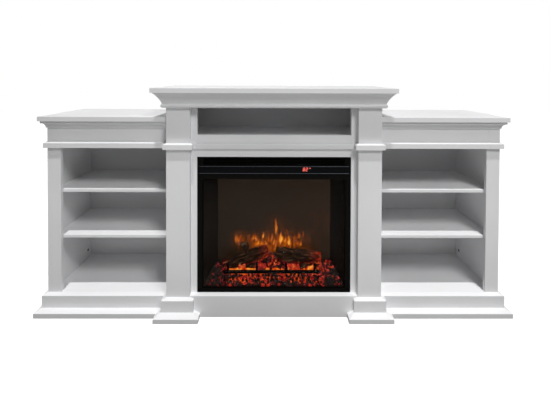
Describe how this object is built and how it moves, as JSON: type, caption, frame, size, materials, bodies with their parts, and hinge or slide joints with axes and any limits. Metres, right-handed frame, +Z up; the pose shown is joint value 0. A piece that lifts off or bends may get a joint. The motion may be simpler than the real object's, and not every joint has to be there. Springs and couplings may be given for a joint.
{
  "type": "fireplace_tv_stand",
  "caption": "White fireplace TV stand with a mantel, a black electric fire insert and open shelf cabinets",
  "frame": {"origin": "on the floor under the middle of the whole stand", "axes": "+X right seen from the front, +Y to the back, +Z up; the front faces -Y"},
  "size_m": [1.822, 0.4, 0.876],
  "materials": {
    "painted_board": "satin white paint on board",
    "black_metal": "semi-gloss black",
    "casing_steel": "galvanised sheet",
    "clear_glass": "clear, smooth",
    "black_glass": "gloss black",
    "screen_plastic": "smoked",
    "ember_resin": "rough",
    "log_resin": "rough bark",
    "lamp_board": "satin",
    "reflector_foil": "bright",
    "pin_metal": "nickel plated",
    "fan_plastic": "fine grain",
    "switch_plastic": "gloss"
  },
  "bodies": {
    "stand": {"mantel_top": "painted_board", "mantel_crown": "painted_board", "slot_rail": "painted_board", "slot_lip": "painted_board", "head_rail": "painted_board", "media_shelf": "painted_board", "media_back": "painted_board", "hearth_rail": "painted_board", "hearth_deck": "painted_board", "shelf_pins": "pin_metal", "firebox_casing": "casing_steel", "chamber_liner": "black_metal", "front_bezel": "black_metal", "front_glass": "clear_glass", "display_strip": "black_glass", "flame_screen": "screen_plastic", "ember_bed": "ember_resin", "log_left": "log_resin", "log_right": "log_resin", "grate": "black_metal", "light_bar": "lamp_board", "spindle_motor": "casing_steel", "blower_housing": "casing_steel", "heater_element": "reflector_foil", "power_inlet": "fan_plastic", "pilaster_left": "painted_board", "pilaster_right": "painted_board", "pilaster_band_left": "painted_board", "pilaster_band_right": "painted_board", "pilaster_plinth_left": "painted_board", "pilaster_plinth_right": "painted_board", "inner_stile_left": "painted_board", "inner_stile_right": "painted_board", "centre_panel_left": "painted_board", "centre_panel_right": "painted_board", "side_top_left": "painted_board", "side_top_right": "painted_board", "side_crown_left": "painted_board", "side_crown_right": "painted_board", "frieze_left": "painted_board", "frieze_right": "painted_board", "side_band_left": "painted_board", "side_band_right": "painted_board", "stile_left": "painted_board", "stile_right": "painted_board", "outer_panel_left": "painted_board", "outer_panel_right": "painted_board", "deck_left": "painted_board", "deck_right": "painted_board", "side_plinth_left": "painted_board", "side_plinth_right": "painted_board", "back_panel_left": "painted_board", "back_panel_right": "painted_board", "upper_shelf_left": "painted_board", "upper_shelf_right": "painted_board", "lower_shelf_left": "painted_board", "lower_shelf_right": "painted_board"},
    "spindle": {"flame_spindle": "reflector_foil"},
    "fan": {"blower_wheel": "fan_plastic"},
    "rocker": {"rocker_switch": "switch_plastic"}
  },
  "joints": [
    {"name": "spindle_turn", "type": "hinge", "parent": "stand", "child": "spindle", "pos_m": [0, 0.02, 0.1495], "axis": [1, 0, 0], "continuous": true},
    {"name": "fan_turn", "type": "hinge", "parent": "stand", "child": "fan", "pos_m": [0, -0.034, 0.556], "axis": [1, 0, 0], "continuous": true},
    {"name": "rocker_tilt", "type": "hinge", "parent": "stand", "child": "rocker", "pos_m": [0.175, 0.066, 0.1435], "axis": [1, 0, 0], "range_deg": [-14, 0]}
  ]
}
